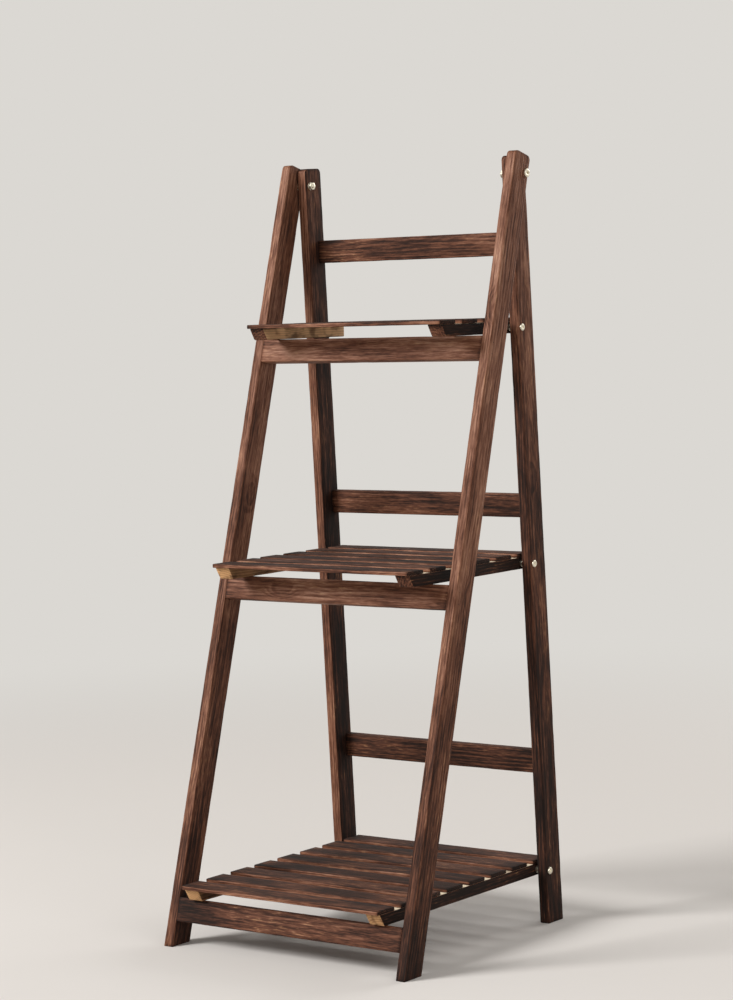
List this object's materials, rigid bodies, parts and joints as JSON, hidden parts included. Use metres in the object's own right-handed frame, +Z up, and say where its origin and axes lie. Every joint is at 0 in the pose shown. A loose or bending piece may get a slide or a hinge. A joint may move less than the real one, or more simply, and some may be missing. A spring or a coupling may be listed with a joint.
{
  "type": "folding tiered plant stand",
  "caption": "Folding ladder-shaped wooden stand whose slatted shelves of growing depth hold plant pots.",
  "frame": {"origin": "on the floor, in the middle of the stand's footprint", "axes": "+Z up, +X to the right seen from the front, and the front faces -Y"},
  "size_m": [0.4172, 0.4104, 1.0812],
  "materials": {
    "torched_wood": "softwood torched dark brown and brushed, so that the grain stands out in lighter and darker streaks, with a low sheen",
    "plated_steel": "pale yellow zinc plate, half bright",
    "nail_steel": "dulled dark by the torching"
  },
  "bodies": {
    "rear_frame": {"rear_leg_left": "torched_wood", "rear_leg_right": "torched_wood", "top_rail": "torched_wood", "middle_rail": "torched_wood", "bottom_rail": "torched_wood", "rear_frame_nails": "nail_steel", "hinge_bolts": "plated_steel", "hinge_spacers": "plated_steel", "hinge_washers": "plated_steel", "hinge_nuts": "plated_steel"},
    "front_frame": {"front_leg_left": "torched_wood", "front_leg_right": "torched_wood", "top_rung": "torched_wood", "middle_rung": "torched_wood", "bottom_rung": "torched_wood", "front_frame_nails": "nail_steel"},
    "top_shelf": {"top_runner_left": "torched_wood", "top_runner_right": "torched_wood", "top_slat_1": "torched_wood", "top_slat_2": "torched_wood", "top_slat_3": "torched_wood", "top_slat_4": "torched_wood", "top_shelf_nails": "nail_steel", "top_shelf_bolts": "plated_steel", "top_shelf_spacers": "plated_steel", "top_shelf_inserts": "plated_steel"},
    "middle_shelf": {"middle_runner_left": "torched_wood", "middle_runner_right": "torched_wood", "middle_slat_1": "torched_wood", "middle_slat_2": "torched_wood", "middle_slat_3": "torched_wood", "middle_slat_4": "torched_wood", "middle_slat_5": "torched_wood", "middle_slat_6": "torched_wood", "middle_shelf_nails": "nail_steel", "middle_shelf_bolts": "plated_steel", "middle_shelf_spacers": "plated_steel", "middle_shelf_inserts": "plated_steel"},
    "bottom_shelf": {"bottom_runner_left": "torched_wood", "bottom_runner_right": "torched_wood", "bottom_slat_1": "torched_wood", "bottom_slat_2": "torched_wood", "bottom_slat_3": "torched_wood", "bottom_slat_4": "torched_wood", "bottom_slat_5": "torched_wood", "bottom_slat_6": "torched_wood", "bottom_slat_7": "torched_wood", "bottom_slat_8": "torched_wood", "bottom_shelf_nails": "nail_steel", "bottom_shelf_bolts": "plated_steel", "bottom_shelf_spacers": "plated_steel", "bottom_shelf_inserts": "plated_steel"}
  },
  "joints": [
    {"name": "frame_fold", "type": "hinge", "parent": "rear_frame", "child": "front_frame", "pos_m": [0, 0.13603, 1.05], "axis": [1, 0, 0], "range_deg": [0, 18.6]},
    {"name": "top_shelf_tip", "type": "hinge", "parent": "rear_frame", "child": "top_shelf", "pos_m": [0, 0.14208, 0.83725], "axis": [-1, 0, 0], "range_deg": [0, 87.7]},
    {"name": "middle_shelf_tip", "type": "hinge", "parent": "rear_frame", "child": "middle_shelf", "pos_m": [0, 0.15533, 0.50725], "axis": [-1, 0, 0], "range_deg": [0, 87.7]},
    {"name": "bottom_shelf_tip", "type": "hinge", "parent": "rear_frame", "child": "bottom_shelf", "pos_m": [0, 0.17272, 0.07425], "axis": [-1, 0, 0], "range_deg": [0, 87.7]}
  ]
}
